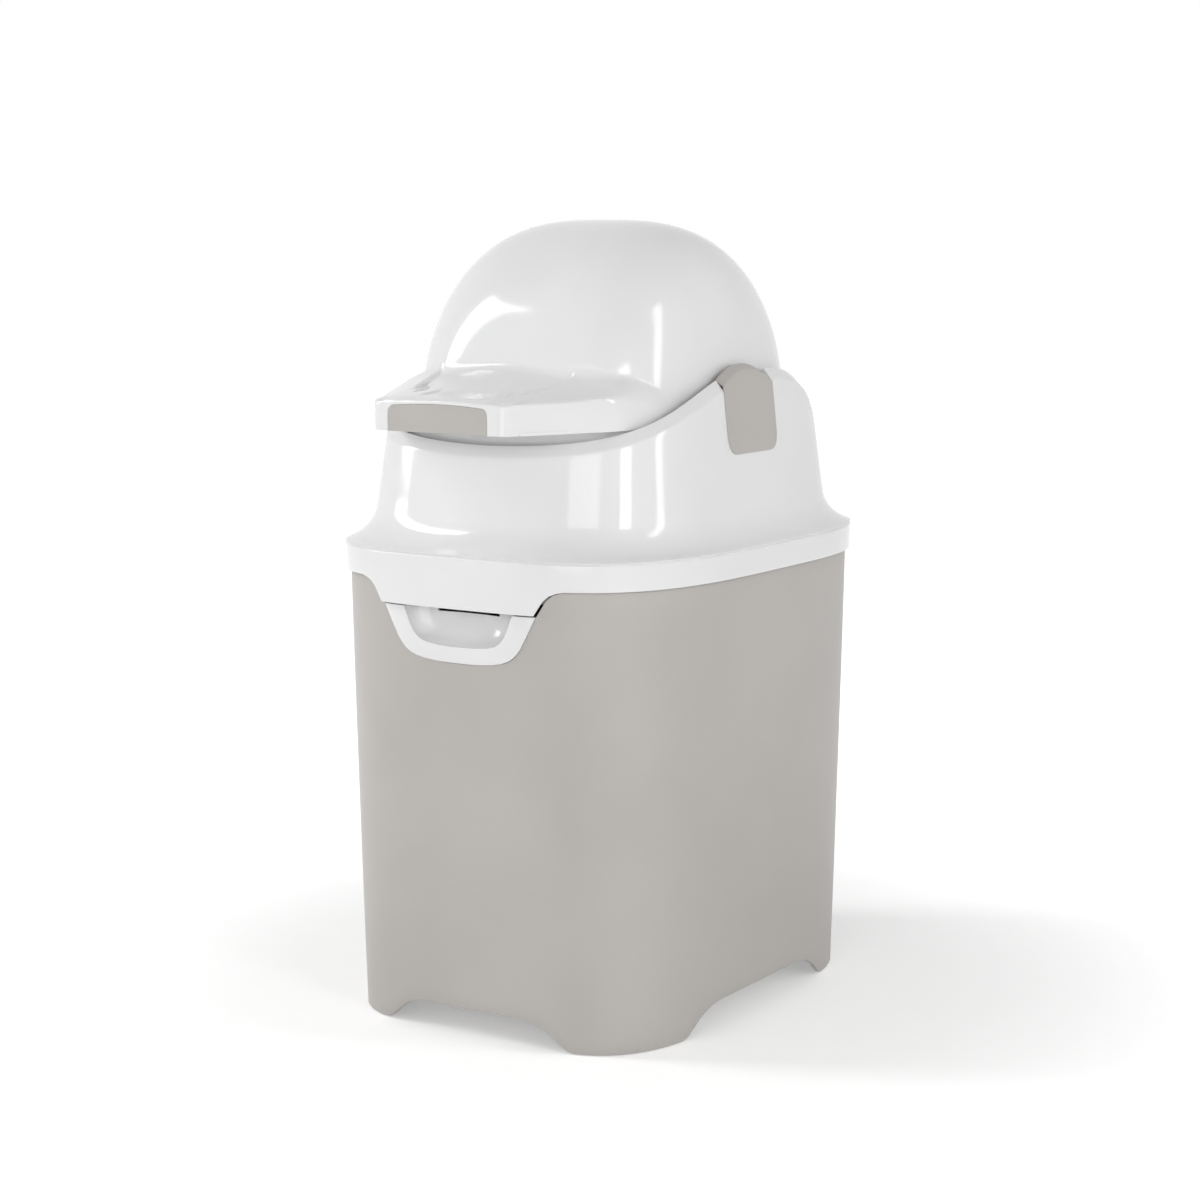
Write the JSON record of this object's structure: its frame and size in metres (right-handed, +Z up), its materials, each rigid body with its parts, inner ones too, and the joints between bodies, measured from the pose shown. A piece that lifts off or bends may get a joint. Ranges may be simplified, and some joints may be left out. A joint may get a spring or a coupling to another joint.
{
  "type": "nappy bin",
  "caption": "Tall oval nappy bin with a tilting top unit, a flip drum with domed cover and duck-bill handle, a weighted piston and a latched pull cup.",
  "frame": {"origin": "on the floor under the middle of the object's bounding box", "axes": "+Z up; -Y to the front, where the handle points; X along the drum's pivot axis, the object's right-hand side seen from the front at +X"},
  "size_m": [0.3172, 0.452, 0.616],
  "materials": {
    "bin_grey": "warm light grey satin plastic",
    "top_white": "glossy white plastic",
    "inner_white": "satin white plastic",
    "zinc_steel": "zinc-plated steel",
    "dark_rubber": "dark sealing rubber"
  },
  "bodies": {
    "bin": {"bin_shell": "bin_grey", "pull_cup": "top_white", "cup_screws": "zinc_steel", "latch_pin": "zinc_steel", "latch_spring": "zinc_steel", "bag_ring": "inner_white", "hinge_bracket": "bin_grey", "hinge_pin": "zinc_steel", "hinge_screws": "zinc_steel"},
    "latch": {"latch_lever": "bin_grey"},
    "top_unit": {"top_housing": "top_white", "lid_deck": "inner_white", "deck_screws": "zinc_steel", "drum_seal": "dark_rubber", "rim_gasket": "dark_rubber", "lid_hinge": "top_white", "lid_hinge_screws": "zinc_steel", "front_lip": "top_white", "bearing_left": "inner_white", "bearing_right": "inner_white", "bearing_screws": "zinc_steel", "pivot_cap_left": "bin_grey", "pivot_cap_right": "bin_grey"},
    "drum": {"dome_shell": "top_white", "grip": "bin_grey", "lower_drum": "inner_white", "drum_screws": "zinc_steel", "nappy_tube": "inner_white", "collar_screws": "zinc_steel", "tube_end": "inner_white", "axle_left": "bin_grey", "axle_right": "bin_grey", "axle_screws": "zinc_steel"},
    "piston": {"piston_body": "bin_grey", "piston_weight": "zinc_steel", "piston_lid": "bin_grey", "piston_seal": "dark_rubber"}
  },
  "joints": [
    {"name": "lid_tilt", "type": "hinge", "parent": "bin", "child": "top_unit", "pos_m": [0, 0.2175, 0.352], "axis": [-1, 0, 0], "range_deg": [0, 100]},
    {"name": "drum_flip", "type": "hinge", "parent": "top_unit", "child": "drum", "pos_m": [0, 0, 0.4686], "axis": [-1, 0, 0], "range_deg": [0, 180]},
    {"name": "piston_slide", "type": "slide", "parent": "drum", "child": "piston", "axis": [0, 0, 1], "range_m": [0, 0.19]},
    {"name": "latch_swing", "type": "hinge", "parent": "bin", "child": "latch", "pos_m": [0, -0.19044, 0.3345], "axis": [-1, 0, 0], "range_deg": [0, 12], "stiffness_Nm_per_rad": 0.05}
  ]
}
